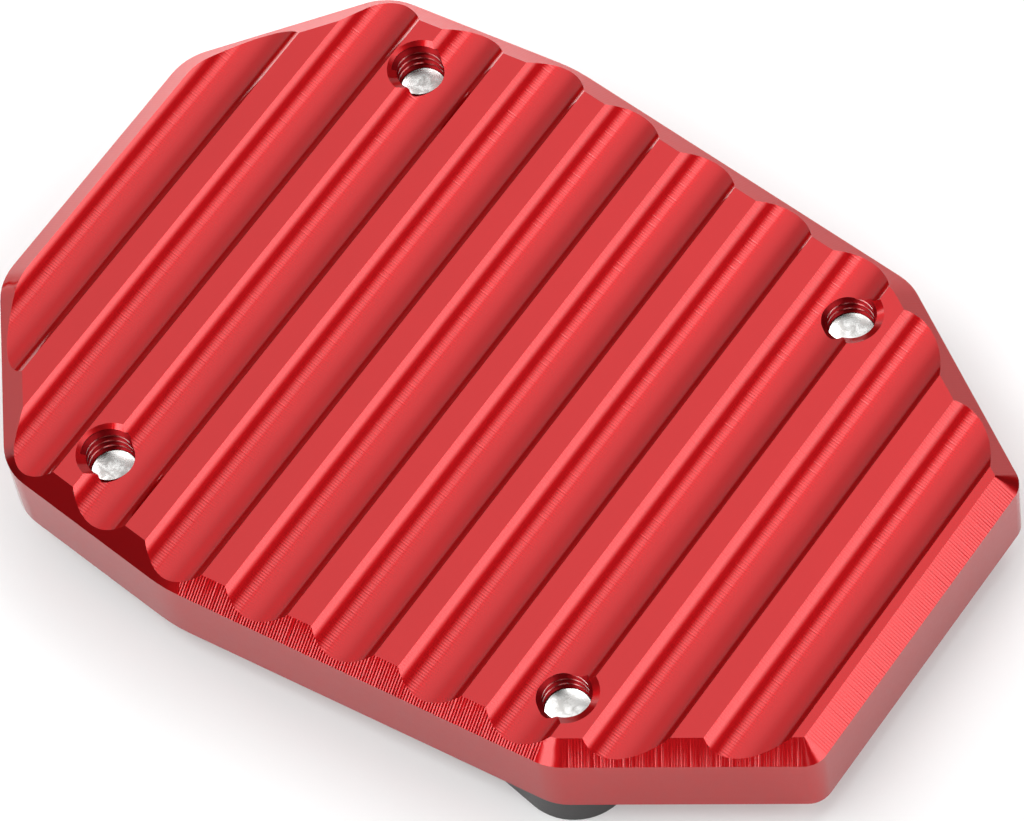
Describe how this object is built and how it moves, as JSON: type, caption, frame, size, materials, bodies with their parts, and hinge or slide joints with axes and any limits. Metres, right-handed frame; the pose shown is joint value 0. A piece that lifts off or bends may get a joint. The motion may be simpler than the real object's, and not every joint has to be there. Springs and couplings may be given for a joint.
{
  "type": "kickstand foot enlarger",
  "caption": "Ribbed metal base plate with a horseshoe clamp screwed to its back, which widens a kickstand's foot so that it doesn't sink into soft ground.",
  "frame": {"origin": "on the clamp's outer face, under the middle of the plate's length and width", "axes": "+X along the plate from its blunt rear end to its tapered front end, +Y along the ribs, +Z out of the ribbed ground face"},
  "size_m": [0.0852, 0.0602, 0.011],
  "materials": {
    "red_anodised": "red anodised, milled",
    "black_anodised": "black anodised, satin",
    "bright_steel": "bright stainless, turned end"
  },
  "bodies": {
    "root": {"ribbed_base_plate": "red_anodised", "clamp_frame": "black_anodised", "clamp_screws": "bright_steel"}
  },
  "joints": []
}
